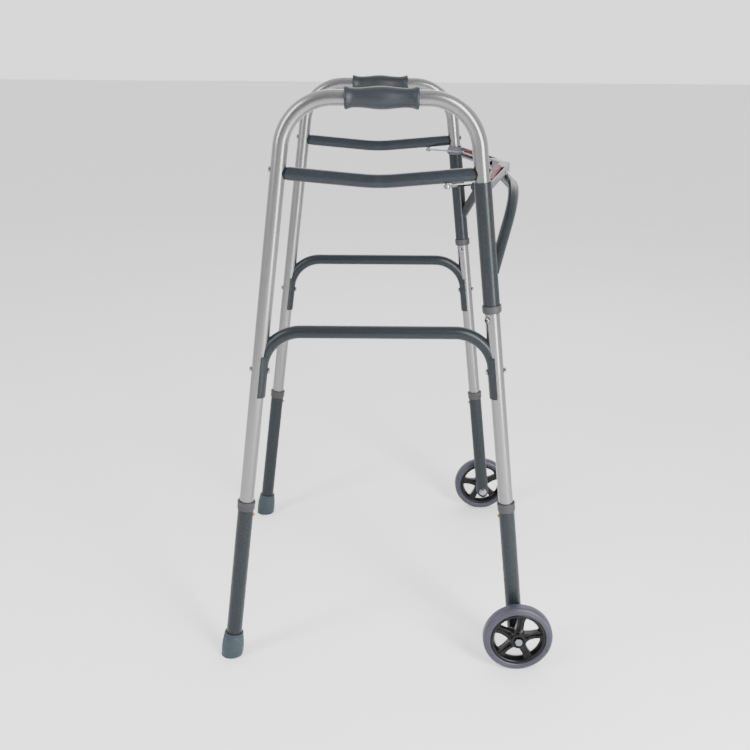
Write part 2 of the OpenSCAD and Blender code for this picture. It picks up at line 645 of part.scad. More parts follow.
paddle_from = 88;
paddle_to = 246;
paddle_low = lever_z + lever_t + 0.05;
module release_paddle() color(RED) intersection() {
    on_bow() translate([bow_t + 1, 0, 0]) rotate([90, 0, 90]) linear_extrude(17) polygon(concat(
        [[paddle_to, paddle_low], [paddle_from, paddle_low]],
        [for (i = [0:16]) let (f = i / 16)
            [paddle_from + f * (paddle_to - paddle_from), paddle_low + 3 + 8.3 * cos(90 * f)]]));
    on_bow() translate([0, 0, 850]) linear_extrude(60) hull() {
        translate([bow_t + 6, paddle_from + 5]) circle(5, $fn = 32);
        translate([bow_t + 12.5, paddle_from + 5]) circle(5, $fn = 32);
        translate([bow_t + 5, paddle_to - 4]) circle(4, $fn = 32);
        translate([bow_t + 7.5, paddle_to - 4]) circle(4, $fn = 32);
    }
}

spring_turns = 2.5;
spring_r = 4;
spring_wire = 0.6;
spring_low = bow_z + bow_t + 0.7;
spring_high = lever_z - 0.7;
spring_steps = 60;

function helix(t) = [spring_r * cos(360 * spring_turns * t), spring_r * sin(360 * spring_turns * t),
    spring_low + (spring_high - spring_low) * t];
function ring(t, sides) = let (a = 360 * spring_turns * t, c = helix(t))
    [for (k = [0:sides - 1]) let (b = 360 * k / sides)
        c + spring_wire * [cos(b) * cos(a), cos(b) * sin(a), sin(b)]];

// A coil spring between the bow's lower flange and the lever.
module lever_spring() color(ZINC) on_bow() translate([lever_in + 5, 140, 0]) {
    sides = 8;
    points = [for (i = [0:spring_steps]) each ring(i / spring_steps, sides)];
    faces = concat([[for (k = [0:sides - 1]) k]],
        [for (i = [0:spring_steps - 1], k = [0:sides - 1])
            [i * sides + k, (i + 1) * sides + k, (i + 1) * sides + (k + 1) % sides, i * sides + (k + 1) % sides]],
        [[for (k = [sides - 1:-1:0]) spring_steps * sides + k]]);
    polyhedron(points, faces);
}

right_stop_turn = 42;
left_stop_turn = -62;

placed() front_bow();
placed() front_arch();
placed() bow_label();
placed() sleeve();  // right_sleeve
placed() left_side() sleeve();  // left_sleeve
placed() sleeve_collar();  // right_sleeve_collar
placed() left_side() sleeve_collar();  // left_sleeve_collar
placed() lever_pivot();  // right_lever_pivot
placed() left_side() lever_pivot();  // left_lever_pivot
placed() lever_spring();  // right_lever_spring
placed() left_side() lever_spring();  // left_lever_spring
placed() latch_lever();  // right_latch_lever
placed() left_side() latch_lever();  // left_latch_lever
placed() release_paddle();  // right_release_paddle
placed() left_side() release_paddle();  // left_release_paddle
placed() latch_pin();  // right_latch_pin
placed() left_side() latch_pin();  // left_latch_pin
placed() side_tube(right_stop_turn);  // right_side_tube
placed() left_side() side_tube(left_stop_turn);  // left_side_tube
placed() grip();  // right_grip
placed() left_side() grip();  // left_grip
placed() upper_bar();  // right_upper_bar
placed() left_side() upper_bar();  // left_upper_bar
placed() bar_plugs();  // right_bar_plugs
placed() left_side() bar_plugs();  // left_bar_plugs
placed() bar_screws();  // right_bar_screws
placed() left_side() bar_screws();  // left_bar_screws
placed() lower_brace();  // right_lower_brace
placed() left_side() lower_brace();  // left_lower_brace
placed() brace_screws();  // right_brace_screws
placed() left_side() brace_screws();  // left_brace_screws
placed() stop_screw(right_stop_turn);  // right_stop_screw
placed() left_side() stop_screw(left_stop_turn);  // left_stop_screw
placed() button_springs();  // right_button_springs
placed() left_side() button_springs();  // left_button_springs
placed() front_button();  // right_front_button
placed() left_side() front_button();  // left_front_button
placed() rear_button();  // right_rear_button
placed() left_side() rear_button();  // left_rear_button
placed() front_extension();  // right_front_extension
placed() left_side() front_extension();  // left_front_extension
placed() front_collar();  // right_front_collar
placed() left_side() front_collar();  // left_front_collar
placed() axle_bolt();  // right_axle_bolt
placed() left_side() axle_bolt();  // left_axle_bolt
placed() axle_nut();  // right_axle_nut
placed() left_side() axle_nut();  // left_axle_nut
placed() wheel_rim();  // right_wheel_rim
placed() left_side() wheel_rim();  // left_wheel_rim
placed() wheel_tyre();  // right_wheel_tyre
placed() left_side() wheel_tyre();  // left_wheel_tyre
placed() rear_extension();  // right_rear_extension
placed() left_side() rear_extension();  // left_rear_extension
placed() rear_collar();  // right_rear_collar
placed() left_side() rear_collar();  // left_rear_collar
placed() rear_tip();  // right_rear_tip
placed() left_side() rear_tip();  // left_rear_tip
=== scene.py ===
"""Looks of the folding walking frame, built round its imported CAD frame. All sizes are in metres."""
import json
import math

import bmesh
import bpy
from mathutils import Matrix, Vector


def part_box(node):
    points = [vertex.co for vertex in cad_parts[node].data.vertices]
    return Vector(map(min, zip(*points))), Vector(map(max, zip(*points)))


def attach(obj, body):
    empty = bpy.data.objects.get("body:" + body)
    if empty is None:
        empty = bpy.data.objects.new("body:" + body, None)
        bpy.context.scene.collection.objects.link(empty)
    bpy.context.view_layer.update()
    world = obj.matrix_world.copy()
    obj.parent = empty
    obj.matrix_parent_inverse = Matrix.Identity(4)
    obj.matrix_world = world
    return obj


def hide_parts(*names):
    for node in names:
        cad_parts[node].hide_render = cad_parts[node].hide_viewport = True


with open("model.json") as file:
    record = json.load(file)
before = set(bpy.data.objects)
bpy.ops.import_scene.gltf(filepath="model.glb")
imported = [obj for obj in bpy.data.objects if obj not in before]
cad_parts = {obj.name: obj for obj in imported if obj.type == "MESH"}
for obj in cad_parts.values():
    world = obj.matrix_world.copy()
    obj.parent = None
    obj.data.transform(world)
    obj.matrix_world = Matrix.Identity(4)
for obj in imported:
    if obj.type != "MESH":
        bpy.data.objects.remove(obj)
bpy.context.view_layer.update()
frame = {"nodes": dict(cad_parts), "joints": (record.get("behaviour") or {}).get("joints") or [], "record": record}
JOINTS = {j["name"]: j for j in frame["joints"]}
NODES = frame["nodes"]
SIDES = {"right": -1.0, "left": 1.0}
TAU = 2 * math.pi

# Sizes that the shown pieces share with the CAD, in metres unless a note says otherwise.
LEG_R = 0.0127              # outside of the leg tube
TUBE_WALL = 0.0016
TOP_BEND = 0.084            # bend radius of the side tube's centre line
REAR_TUBE_END_Z = 0.2647    # lower end of the side tube on the rear leg
FRONT_TUBE_END_Z = 0.2764   # and on the front leg
SLIDE_R = 0.01436           # bore of the pieces that sit on a leg extension or on the sleeve
COLLAR_TOP_Z = 0.3145
COLLAR_H = 0.0165
SLEEVE_LOW_Z = 0.663        # lower end of the sleeve on the front leg
GRIP_BORE_R = LEG_R + 0.00006
WHEEL_R = 0.0635            # outside of the tyre
TYRE_SEAT_R = 0.05005       # inside of the tyre
TYRE_HALF_W = 0.0120
HUB_IN_Z = -0.0255          # inner end of the hub, from the wheel's middle plane
BORE_R = 0.0041             # the hub's bore round the axle
SPOKES = 5
FIRST_SPOKE = 82            # degrees
BOW_SWEEP = math.radians(13.2)  # turn of each half of the bow, and of its paddle
PADDLE_INSET = 0.010        # the shown paddle starts this much farther out than its CAD node


# ---------------------------------------------------------------- materials

def material(name):
    """A new node material; returns it with its node tree and its Principled shader."""
    m = bpy.data.materials.new(name)
    m.use_nodes = True
    return m, m.node_tree, m.node_tree.nodes["Principled BSDF"]


def coords(nt, source="Object", scale=(1, 1, 1)):
    """Texture coordinates scaled by a vector."""
    tc = nt.nodes.new("ShaderNodeTexCoord")
    mp = nt.nodes.new("ShaderNodeMapping")
    mp.inputs["Scale"].default_value = scale
    nt.links.new(tc.outputs[source], mp.inputs["Vector"])
    return mp.outputs["Vector"]


def noise(nt, vec, scale, detail=3.0, rough=0.5, distortion=0.0):
    """Noise at a vector; with coordinates in metres, scale counts features per metre."""
    n = nt.nodes.new("ShaderNodeTexNoise")
    n.inputs["Scale"].default_value = scale
    n.inputs["Detail"].default_value = detail
    n.inputs["Roughness"].default_value = rough
    n.inputs["Distortion"].default_value = distortion
    nt.links.new(vec, n.inputs["Vector"])
    return n.outputs["Fac"]


def voronoi(nt, vec, scale):
    """Rounded cells at a vector."""
    n = nt.nodes.new("ShaderNodeTexVoronoi")
    n.feature = "SMOOTH_F1"
    n.inputs["Scale"].default_value = scale
    n.inputs["Smoothness"].default_value = 0.6
    nt.links.new(vec, n.inputs["Vector"])
    return n.outputs["Distance"]


def ramp(nt, fac, *stops):
    """A colour ramp; each stop is (position, colour) with a colour or a grey value."""
    r = nt.nodes.new("ShaderNodeValToRGB")
    while len(r.color_ramp.elements) < len(stops):
        r.color_ramp.elements.new(0.5)
    for e, (pos, col) in zip(r.color_ramp.elements, stops):
        e.position = pos
        e.color = (col, col, col, 1) if isinstance(col, (int, float)) else (*col, 1)
    nt.links.new(fac, r.inputs["Fac"])
    return r.outputs["Color"]


def mix(nt, fac, a, b):
    """Colour a turning to colour b as fac goes from 0 to 1; each is a socket or a value."""
    n = nt.nodes.new("ShaderNodeMix")
    n.data_type = "RGBA"
    for socket, value in ((n.inputs[0], fac), (n.inputs[6], a), (n.inputs[7], b)):
        if isinstance(value, bpy.types.NodeSocket):
            nt.links.new(value, socket)
        elif isinstance(value, (int, float)):
            socket.default_value = value
        else:
            socket.default_value = (*value, 1)
    return n.outputs[2]


def math_node(nt, op, a, b=0.0):
    """One step of arithmetic on sockets or values."""
    n = nt.nodes.new("ShaderNodeMath")
    n.operation = op
    for socket, value in ((n.inputs[0], a), (n.inputs[1], b)):
        if isinstance(value, bpy.types.NodeSocket):
            nt.links.new(value, socket)
        else:
            socket.default_value = value
    return n.outputs[0]


def bump(nt, bsdf, height, distance, strength=1.0, previous=None):
    """Bump of a real height in metres, laid over a previous bump where one is given."""
    n = nt.nodes.new("ShaderNodeBump")
    n.inputs["Distance"].default_value = distance
    n.inputs["Strength"].default_value = strength
    nt.links.new(height, n.inputs["Height"])
    if previous is not None:
        nt.links.new(previous, n.inputs["Normal"])
    nt.links.new(n.outputs["Normal"], bsdf.inputs["Normal"])
    return n.outputs["Normal"]


def edge_wear(nt, amount):
    """Brighter on raised edges: a mask from the surface's pointiness, broken up by noise."""
    g = nt.nodes.new("ShaderNodeNewGeometry")
    r = ramp(nt, g.outputs["Pointiness"], (0.52, 0.0), (0.60, 1.0))
    n = ramp(nt, noise(nt, coords(nt), 260, 5), (0.40, 0.0), (0.62, 1.0))
    return math_node(nt, "MULTIPLY", math_node(nt, "MULTIPLY", r, n), amount)


def hammertone(name, dark, light, chip, rough=(0.26, 0.36)):
    """Hammered paint: small rounded dimples with soft colour change between them."""
    m, nt, b = material(name)
    vec = coords(nt)
    warp = noise(nt, vec, 1300, 2, 0.5)
    cells = voronoi(nt, vec, 1500.0)
    mottled = noise(nt, vec, 2200, 3, 0.6)
    broad = noise(nt, vec, 14, 3, 0.55)
    paint = ramp(nt, cells, (0.10, light), (0.62, dark))
    paint = mix(nt, ramp(nt, mottled, (0.40, 0.0), (0.7, 0.25)), paint, light)
    paint = mix(nt, ramp(nt, broad, (0.3, 0.0), (0.75, 0.2)), paint, dark)
    paint = mix(nt, edge_wear(nt, 0.12), paint, chip)
    nt.links.new(paint, b.inputs["Base Color"])
    b.inputs["Metallic"].default_value = 0.10
    b.inputs["Specular IOR Level"].default_value = 0.20
    b.inputs["Coat Weight"].default_value = 0.03
    b.inputs["Coat Roughness"].default_value = 0.25
    nt.links.new(ramp(nt, warp, (0.3, rough[0]), (0.7, rough[1])), b.inputs["Roughness"])
    first = bump(nt, b, cells, 0.00003, 0.5)
    bump(nt, b, mottled, 0.00008, 0.4, first)
    return m


def anodised(name):
    """Satin anodised aluminium: faint drawn lines run along the tube (its UV map's second axis)."""
    m, nt, b = material(name)
    lines = noise(nt, coords(nt, "UV", (95, 2.2, 1)), 1.0, 4, 0.6)
    fine = noise(nt, coords(nt, "UV", (420, 9, 1)), 1.0, 2, 0.6)
    cloud = noise(nt, coords(nt), 9, 4, 0.6)
    scuff = noise(nt, coords(nt, "UV", (8, 60, 1)), 1.0, 8, 0.75)
    col = ramp(nt, lines, (0.25, (0.170, 0.170, 0.174)), (0.8, (0.225, 0.225, 0.230)))
    col = mix(nt, ramp(nt, cloud, (0.35, 0.0), (0.75, 0.35)), col, (0.190, 0.190, 0.195))
    col = mix(nt, ramp(nt, scuff, (0.66, 0.0), (0.74, 0.30)), col, (0.30, 0.30, 0.305))
    nt.links.new(col, b.inputs["Base Color"])
    b.inputs["Metallic"].default_value = 0.88
    nt.links.new(ramp(nt, fine, (0.25, 0.20), (0.75, 0.30)), b.inputs["Roughness"])
    first = bump(nt, b, lines, 0.00006, 0.35)
    bump(nt, b, fine, 0.00003, 0.4, first)
    return m


def moulded(name, dark, light, rough=(0.42, 0.6), grain=1500.0, depth=0.00006, wear=0.25,
            gloss=0.4):
    """Moulded plastic or rubber: fine grain, cloudy colour and lighter rubbed edges."""
    m, nt, b = material(name)
    vec = coords(nt)
    grainy = noise(nt, vec, grain, 3, 0.6)
    cloud = noise(nt, vec, 22, 4, 0.6)
    smear = noise(nt, vec, 70, 5, 0.7, 0.6)
    col = ramp(nt, cloud, (0.3, dark), (0.72, light))
    col = mix(nt, ramp(nt, grainy, (0.42, 0.0), (0.75, 0.35)), col, light)
    worn = tuple(c * 1.7 + 0.01 for c in light)
    col = mix(nt, edge_wear(nt, wear), col, worn)
    nt.links.new(col, b.inputs["Base Color"])
    b.inputs["Specular IOR Level"].default_value = gloss
    nt.links.new(ramp(nt, smear, (0.3, rough[0]), (0.7, rough[1])), b.inputs["Roughness"])
    first = bump(nt, b, grainy, depth, 0.7)
    bump(nt, b, smear, 0.00010, 0.25, first)
    return m


def plated(name, tint, rough=(0.18, 0.34), stain=(0.42, 0.41, 0.40)):
    """Bright plated steel: tiny pits, soft stains and brighter worn edges."""
    m, nt, b = material(name)
    vec = coords(nt)
    fine = noise(nt, vec, 2600, 3, 0.6)
    patch = noise(nt, vec, 120, 5, 0.65, 0.4)
    col = mix(nt, ramp(nt, patch, (0.45, 0.0), (0.8, 0.5)), tint, stain)
    col = mix(nt, edge_wear(nt, 0.5), col, (0.60, 0.60, 0.60))
    nt.links.new(col, b.inputs["Base Color"])
    b.inputs["Metallic"].default_value = 1.0
    nt.links.new(ramp(nt, patch, (0.3, rough[0]), (0.7, rough[1])), b.inputs["Roughness"])
    bump(nt, b, fine, 0.00003, 0.5)
    return m


def label_film(name):
    """Glossy film with plain bands of pale red across it and no lettering."""
    m, nt, b = material(name)
    sep = nt.nodes.new("ShaderNodeSeparateXYZ")
    nt.links.new(coords(nt), sep.inputs[0])
    wave = math_node(nt, "FRACT", math_node(nt, "MULTIPLY", sep.outputs["Y"], 62.0))
    pale, red = (0.30, 0.24, 0.23), (0.26, 0.05, 0.045)
    band = ramp(nt, wave, (0.0, pale), (0.47, pale), (0.50, red), (0.86, red), (0.89, pale))
    dirt = noise(nt, coords(nt), 240, 6, 0.7)
    col = mix(nt, ramp(nt, dirt, (0.5, 0.0), (0.8, 0.3)), band, (0.30, 0.27, 0.27))
    nt.links.new(col, b.inputs["Base Color"])
    b.inputs["Specular IOR Level"].default_value = 0.25
    nt.links.new(ramp(nt, dirt, (0.3, 0.22), (0.8, 0.42)), b.inputs["Roughness"])
    bump(nt, b, dirt, 0.00004, 0.5)
    return m


MATS = {
    "anodised_tube": anodised("anodised_tube_look"),
    "hammertone_paint": hammertone("hammertone_look", (0.011, 0.0135, 0.016),
                                   (0.017, 0.020, 0.023), (0.05, 0.054, 0.058)),
    "dark_bar_paint": hammertone("dark_bar_look", (0.012, 0.015, 0.019), (0.018, 0.022, 0.027),
                                 (0.06, 0.066, 0.07)),
    "bow_paint": hammertone("bow_look", (0.080, 0.073, 0.090), (0.100, 0.093, 0.112),
                            (0.17, 0.165, 0.18), rough=(0.26, 0.40)),
    "grey_plastic": moulded("grey_plastic_look", (0.028, 0.028, 0.030), (0.042, 0.042, 0.045),
                            gloss=0.25),
    "black_plastic": moulded("black_plastic_look", (0.0012, 0.0012, 0.0014),
                             (0.0035, 0.0035, 0.004), rough=(0.26, 0.38), wear=0.02, gloss=0.22),
    "grip_plastic": moulded("grip_look", (0.008, 0.010, 0.013), (0.015, 0.018, 0.023),
                            rough=(0.38, 0.52), gloss=0.3, grain=1100.0, depth=0.0001, wear=0.12),
    "red_plastic": moulded("red_plastic_look", (0.060, 0.002, 0.008), (0.095, 0.003, 0.013),
                           rough=(0.36, 0.50), gloss=0.08),
    "tip_rubber": moulded("tip_rubber_look", (0.012, 0.022, 0.028), (0.022, 0.036, 0.044),
                          rough=(0.52, 0.72), grain=1300.0, depth=0.00012),
    "tyre_rubber": moulded("tyre_look", (0.019, 0.018, 0.030), (0.032, 0.031, 0.047),
                           rough=(0.34, 0.50), grain=1000.0, depth=0.00008),
    "zinc_steel": plated("zinc_look", (0.20, 0.205, 0.22), rough=(0.08, 0.18),
                         stain=(0.20, 0.20, 0.20)),
    "spring_steel": plated("spring_steel_look", (0.45, 0.46, 0.48), rough=(0.26, 0.44)),
    "snap_brass": plated("snap_brass_look", (0.50, 0.22, 0.04), stain=(0.30, 0.12, 0.03)),
    "label_film": label_film("label_look"),
}

for part in frame["record"]["subparts"]:
    look = MATS[part["material_slot"]]
    node = NODES[part["node"]]
    node.data.materials.clear()
    node.data.materials.append(look)


# ---------------------------------------------------------------- mesh helpers

def finish_mesh(name, bm, slot_name, smooth_angle=35.0):
    """Turns a bmesh into a shown piece with its look, smooth where faces meet gently."""
    bmesh.ops.remove_doubles(bm, verts=bm.verts, dist=1e-7)
    bmesh.ops.recalc_face_normals(bm, faces=bm.faces)
    me = bpy.data.meshes.new(name)
    bm.to_mesh(me)
    bm.free()
    ob = bpy.data.objects.new(name, me)
    bpy.context.scene.collection.objects.link(ob)
    me.materials.append(MATS[slot_name])
    bpy.context.view_layer.objects.active = ob
    for o in bpy.context.selected_objects:
        o.select_set(False)
    ob.select_set(True)
    bpy.ops.object.shade_smooth_by_angle(angle=math.radians(smooth_angle))
    return ob


def put(ob, body, *nodes):
    """Rides a piece on its body and hides the CAD nodes that it stands for."""
    if nodes:
        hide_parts(*nodes)
    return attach(ob, body)


def lathe(bm, profile, place, steps=96, closed=False):
    """Turns a list of (radius, height) about the Z axis of the matrix place."""
    rings = []
    for r, z in profile:
        if r < 1e-9:
            rings.append([bm.verts.new(place @ Vector((0, 0, z)))])
        else:
            rings.append([bm.verts.new(place @ Vector((r * math.cos(TAU * k / steps),
                                                       r * math.sin(TAU * k / steps), z)))
                          for k in range(steps)])
    pairs = zip(rings, rings[1:] + rings[:1]) if closed else zip(rings, rings[1:])
    for a, b in pairs:
        for k in range(steps):
            quad = [a[k % len(a)], a[(k + 1) % len(a)], b[(k + 1) % len(b)], b[k % len(b)]]
            unique = []
            for v in quad:
                if v not in unique:
                    unique.append(v)
            if len(unique) > 2:
                bm.faces.new(unique)
    return rings


def rounded(points, radius, n=4, closed=False):
    """The same outline of 2-D points with its corners rounded."""
    out = []
    count = len(points)
    for i, p in enumerate(points):
        if not closed and i in (0, count - 1):
            out.append(p)
            continue
        a, b, c = Vector(points[i - 1]), Vector(p), Vector(points[(i + 1) % count])
        u, v = a - b, c - b
        r = min(radius, u.length * 0.45, v.length * 0.45)
        s, e = b + u.normalized() * r, b + v.normalized() * r
        for k in range(n + 1):
            t = k / n
            q = s * (1 - t) ** 2 + b * 2 * t * (1 - t) + e * t * t
            out.append((q.x, q.y))
    return out


def axis_frame(foot, up):
    """A matrix at foot with Z along up and Y across the walker."""
    z = Vector(up).normalized()
    y = Vector((0, 1, 0))
    x = y.cross(z).normalized()
    m = Matrix((x, y, z)).transposed().to_4x4()
    m.translation = foot
    return m


def wheel_frame(centre, side):
    """A matrix at the wheel's centre with Z pointing away from the walker and Y up."""
    m = Matrix(((-side, 0, 0), (0, 0, side), (0, 1, 0))).to_4x4()
    m.translation = centre
    return m


# ---------------------------------------------------------------- axes from the frame

FEET = {mount["name"]: Vector(mount["pos_m"]) for mount in frame["record"]["mounts"]}


def front_axis(side):
    """Where the front leg's axis meets the floor, and its direction upwards."""
    j = JOINTS[f"{side}_fold"]
    p, a = Vector(j["pos_m"]), Vector(j["axis"])
    a = a if a.z > 0 else -a
    return p - a * (p.z / a.z), a


def rear_axis(side):
    """Where the rear leg's axis meets the floor, and its direction upwards."""
    return FEET[f"{side}_rear_foot"], Vector(JOINTS[f"{side}_rear_height"]["axis"])


def side_path(side):
    """The centre line of a side tube, from the rear leg's lower end round to the front leg's."""
    (p0, up0), (p1, up1) = rear_axis(side), front_axis(side)
    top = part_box(f"{side}_side_tube")[1].z - LEG_R
    y = p0.y
    corner = top - TOP_BEND
    lean0, lean1 = math.atan2(up0.x, up0.z), math.atan2(-up1.x, up1.z)
    c0 = Vector((p0.x + corner * math.tan(lean0) + TOP_BEND / math.cos(lean0), y, corner))
    c1 = Vector((p1.x - corner * math.tan(lean1) - TOP_BEND / math.cos(lean1), y, corner))
    pts = []
    bottom0 = c0 + Vector((-TOP_BEND * math.cos(lean0), 0, TOP_BEND * math.sin(lean0)))
    bottom1 = c1 + Vector((TOP_BEND * math.cos(lean1), 0, TOP_BEND * math.sin(lean1)))
    for k in range(25):
        z = REAR_TUBE_END_Z + (bottom0.z - REAR_TUBE_END_Z) * k / 24
        pts.append(bottom0 + up0 * ((z - bottom0.z) / up0.z))
    for k in range(1, 25):
        a = math.pi - lean0 + (math.pi / 2 - (math.pi - lean0)) * k / 24
        pts.append(c0 + Vector((math.cos(a), 0, math.sin(a))) * TOP_BEND)
    for k in range(1, 9):
        pts.append(c0.lerp(c1, k / 8) + Vector((0, 0, TOP_BEND)))
    for k in range(1, 25):
        a = math.pi / 2 + (lean1 - math.pi / 2) * k / 24
        pts.append(c1 + Vector((math.cos(a), 0, math.sin(a))) * TOP_BEND)
    for k in range(1, 25):
        z = bottom1.z + (FRONT_TUBE_END_Z - bottom1.z) * k / 24
        pts.append(bottom1 + up1 * ((z - bottom1.z) / up1.z))
    return pts


def sweep(bm, pts, radius, steps=64, wall=TUBE_WALL):
    """A hollow tube along pts in an XZ plane, with a UV map: around, then along in metres."""
    uv = bm.loops.layers.uv.new("UVMap")
    rings, along = [], [0.0]
    for a, b in zip(pts, pts[1:]):
        along.append(along[-1] + (b - a).length)
    for r in (radius, radius - wall):
        rows = []
        for i, p in enumerate(pts):
            t = (pts[min(i + 1, len(pts) - 1)] - pts[max(i - 1, 0)]).normalized()
            across = t.cross(Vector((0, 1, 0))).normalized()
            rows.append([bm.verts.new(p + r * (math.cos(TAU * k / steps) * Vector((0, 1, 0))
                                               + math.sin(TAU * k / steps) * across))
                         for k in range(steps)])
        rings.append(rows)
    for rows in rings:
        for i in range(len(rows) - 1):
            for k in range(steps):
                f = bm.faces.new((rows[i][k], rows[i][(k + 1) % steps],
                                  rows[i + 1][(k + 1) % steps], rows[i + 1][k]))
                corners = ((k, i), (k + 1, i), (k + 1, i + 1), (k, i + 1))
                for loop, (u, v) in zip(f.loops, corners):
                    loop[uv].uv = (u / steps, along[v])
    for i in (0, len(pts) - 1):
        for k in range(steps):
            bm.faces.new((rings[0][i][k], rings[0][i][(k + 1) % steps],
                          rings[1][i][(k + 1) % steps], rings[1][i][k]))


# ---------------------------------------------------------------- side frames

def make_side_tube(side):
    """The bent side tube, with a UV map for the drawn lines of its finish."""
    bm = bmesh.new()
    sweep(bm, side_path(side), LEG_R)
    put(finish_mesh(f"{side}_side_tube_skin", bm, "anodised_tube"),
        f"{side}_side", f"{side}_side_tube")


def make_grip(side):
    """A moulded grip: flared ends, two waists, a full middle and two fine moulding seams."""
    low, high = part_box(f"{side}_grip")
    mid = (low + high) / 2
    half = (high.x - low.x) / 2
    place = Matrix(((0, 0, 1), (1, 0, 0), (0, 1, 0))).to_4x4()
    place.translation = mid
    big, waist, hole = 0.0179, 0.0150, GRIP_BORE_R
    bm = bmesh.new()
    n, steps = 60, 96
    rings = []
    for i in range(n + 1):
        f = -1 + 2 * i / n
        a = abs(f)
        # Full in the middle, narrowest two thirds of the way out, flared towards the end.
        r = (big + waist) / 2 + (big - waist) / 2 * math.cos(math.radians(270 * a))
        r += 0.0021 * max(0.0, (a - 0.75) / 0.19) ** 2
        r = min(r, big)
        if a > 0.93:
            r = big - 0.0012 * ((a - 0.93) / 0.07) ** 3
        row = []
        for k in range(steps):
            t = TAU * k / steps
            seam = 0.00016 * math.exp(-((math.sin(t)) / 0.03) ** 2) if a < 0.97 else 0.0
            row.append(bm.verts.new(place @ Vector(((r + seam) * math.cos(t),
                                                    (r + seam) * math.sin(t), f * half))))
        rings.append(row)
    for end, f in ((0, -1), (-1, 1)):
        row = [bm.verts.new(place @ Vector((hole * math.cos(TAU * k / steps),
                                            hole * math.sin(TAU * k / steps), f * half)))
               for k in range(steps)]
        if end == 0:
            rings.insert(0, row)
        else:
            rings.append(row)
    for a, b in zip(rings, rings[1:] + rings[:1]):
        for k in range(steps):
            bm.faces.new((a[k], a[(k + 1) % steps], b[(k + 1) % steps], b[k]))
    put(finish_mesh(f"{side}_grip_moulding", bm, "grip_plastic", 60),
        f"{side}_side", f"{side}_grip")


def make_tip(side):
    """A barrel-shaped rubber tip with a groove under its lip and a flat, ringed sole."""
    foot, up = rear_axis(side)
    place = axis_frame(foot, up)
    outline = [(0.0134, 0.0140), (SLIDE_R, 0.0480), (0.0168, 0.0480), (0.0176, 0.0470),
               (0.0176, 0.0450), (0.0169, 0.0443), (0.0169, 0.0434), (0.0178, 0.0420),
               (0.0189, 0.0360), (0.0200, 0.0260), (0.0205, 0.0160), (0.0202, 0.0080),
               (0.0196, 0.0030)]
    bm = bmesh.new()
    rings = lathe(bm, [(0.0, 0.0139)] + rounded(outline, 0.0006, 3), place)
    # The sole is flat on the floor, although the tip leans with the leg.
    sole = []
    for v in rings[-1]:
        q = v.co.copy()
        q -= up * (q.z / up.z)
        sole.append(bm.verts.new(q))
    last = rings[-1]
    for k in range(len(sole)):
        bm.faces.new((last[k], last[(k + 1) % len(sole)], sole[(k + 1) % len(sole)], sole[k]))
    inner = sole
    centre = Vector((foot.x, foot.y, 0.0))
    # The rings of the sole: (share of its radius, height above the floor).
    for r, h in ((0.92, 0.0), (0.88, 0.0012), (0.78, 0.0012), (0.74, 0.0), (0.62, 0.0),
                 (0.58, 0.0012), (0.46, 0.0012), (0.42, 0.0), (0.28, 0.0), (0.24, 0.0012)):
        ring = [bm.verts.new(centre + (v.co - centre) * r + Vector((0, 0, h - v.co.z * r)))
                for v in sole]
        for k in range(len(sole)):
            bm.faces.new((inner[k], inner[(k + 1) % len(sole)], ring[(k + 1) % len(sole)], ring[k]))
        inner = ring
    bm.faces.new(inner)
    put(finish_mesh(f"{side}_rear_tip_rubber", bm, "tip_rubber", 40),
        f"{side}_rear_leg", f"{side}_rear_tip")


def make_collar(side, end):
    """A cup-shaped collar with a rounded lip and a fine step under it."""
    foot, up = rear_axis(side) if end == "rear" else front_axis(side)
    place = axis_frame(foot, up)
    place.translation = foot + up * (COLLAR_TOP_Z / up.z - COLLAR_H)
    h, lip, tube, guide = COLLAR_H, 0.0163, SLIDE_R, 0.0130
    outline = [(guide, h - 0.0034), (guide, h - 0.0012), (0.0136, h), (lip - 0.0010, h),
               (lip, h - 0.0012), (lip, h - 0.0044), (lip - 0.0005, h - 0.0050),
               (lip - 0.0004, 0.0050), (lip - 0.0006, 0.0024), (tube + 0.0009, 0.0),
               (tube, 0.0004), (tube, h - 0.0036)]
    bm = bmesh.new()
    lathe(bm, rounded(outline, 0.0006, 3, closed=True), place, closed=True)
    put(finish_mesh(f"{side}_{end}_collar_moulding", bm, "grey_plastic", 40),
        f"{side}_{end}_leg", f"{side}_{end}_collar")


def make_sleeve_collar(side):
    """The collar that closes the lower end of the painted sleeve."""
    foot, up = front_axis(side)
    place = axis_frame(foot, up)
    place.translation = foot + up * (SLEEVE_LOW_Z / up.z - 0.0026)
    outline = [(0.0131, 0.0), (0.0150, 0.0), (0.0160, 0.0016), (0.0163, 0.0040),
               (0.0163, 0.0118), (0.0159, 0.0130), (0.0153, 0.0130), (0.0149, 0.0116),
               (SLIDE_R, 0.0102), (SLIDE_R, 0.0026), (0.0131, 0.0026)]
    bm = bmesh.new()
    lathe(bm, rounded(outline, 0.0006, 3, closed=True), place, closed=True)
    put(finish_mesh(f"{side}_sleeve_collar_moulding", bm, "grey_plastic", 40),
        "front_brace", f"{side}_sleeve_collar")


# ---------------------------------------------------------------- wheels

